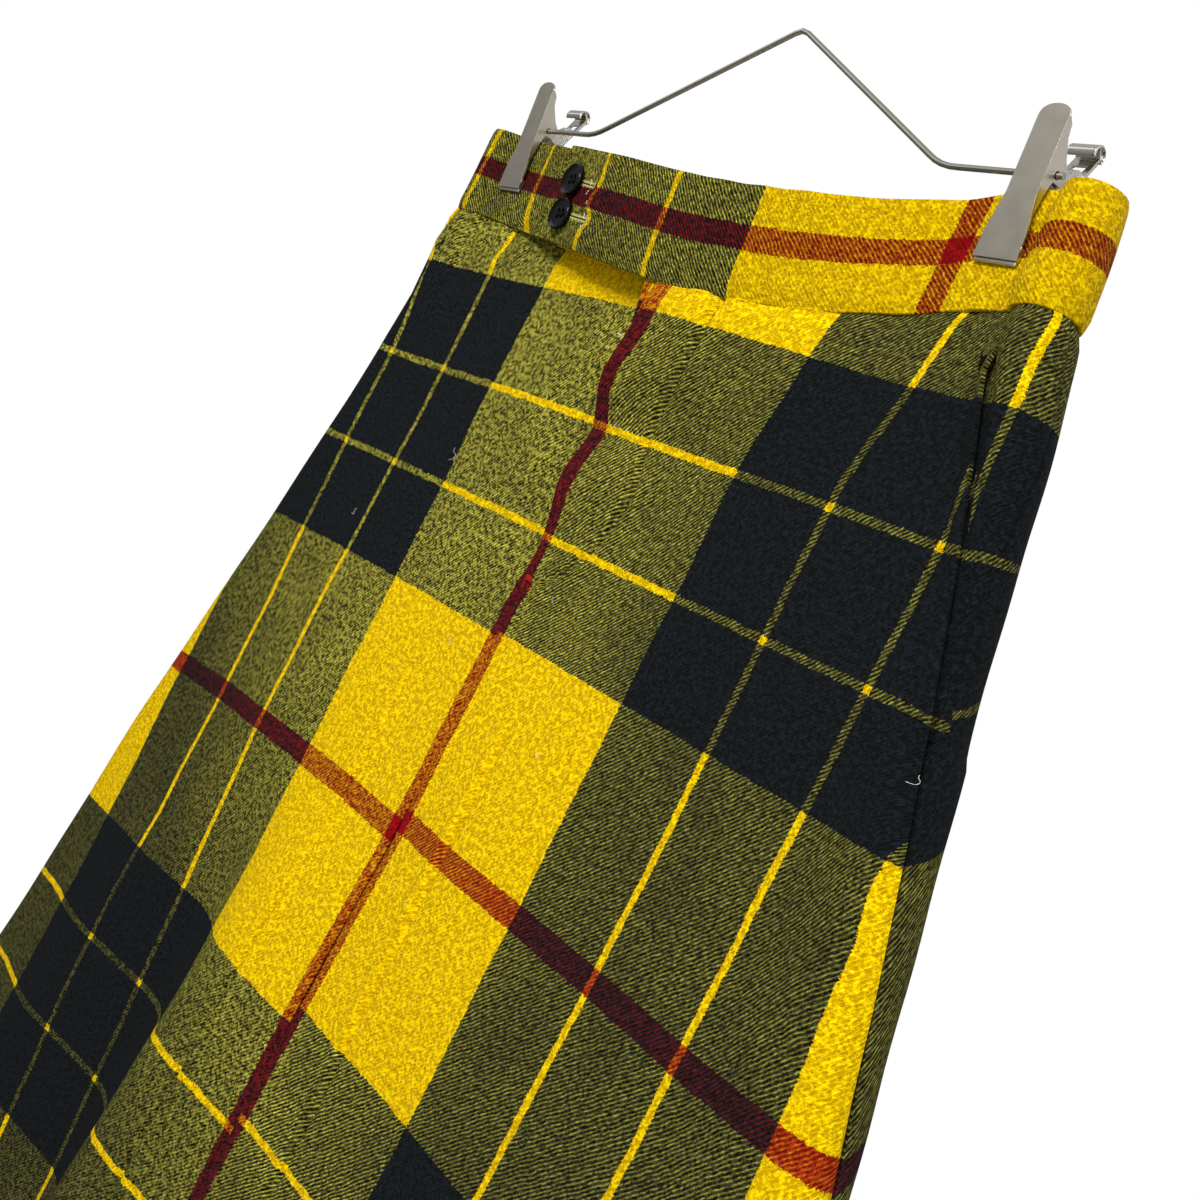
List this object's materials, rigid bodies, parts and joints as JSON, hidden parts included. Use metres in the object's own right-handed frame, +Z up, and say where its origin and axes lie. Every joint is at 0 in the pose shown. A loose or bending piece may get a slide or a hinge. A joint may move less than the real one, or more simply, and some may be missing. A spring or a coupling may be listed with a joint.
{
  "type": "maxi skirt on a wire clip hanger",
  "caption": "Flared maxi skirt in a large checked wool twill with a buttoned waistband tab and fly, hanging from a bent wire hanger by two sprung steel clips.",
  "frame": {"origin": "top bend of the hanger wire, on the wire's centre line, where the hanger is held", "axes": "+X to the right of someone who looks at the front, +Y from the front to the back, +Z up"},
  "size_m": [0.7998, 0.1306, 1.0208],
  "materials": {
    "checked_wool": "brushed twill in a large yellow, black and red check",
    "button_plastic": "polished black",
    "nickel_steel": "satin nickel plate",
    "clear_plastic": "clear soft pad, slightly hazy"
  },
  "bodies": {
    "root": {"waistband": "checked_wool", "front_right_panel": "checked_wool", "front_left_panel": "checked_wool", "fly_underlap": "checked_wool", "back_panel": "checked_wool", "pocket_facing_right": "checked_wool", "pocket_facing_left": "checked_wool", "button_upper": "button_plastic", "button_lower": "button_plastic", "hanger_wire": "nickel_steel", "clip_left_front_jaw": "nickel_steel", "clip_left_rear_jaw": "nickel_steel", "clip_left_pad": "clear_plastic", "clip_right_front_jaw": "nickel_steel", "clip_right_rear_jaw": "nickel_steel", "clip_right_pad": "clear_plastic"}
  },
  "joints": []
}
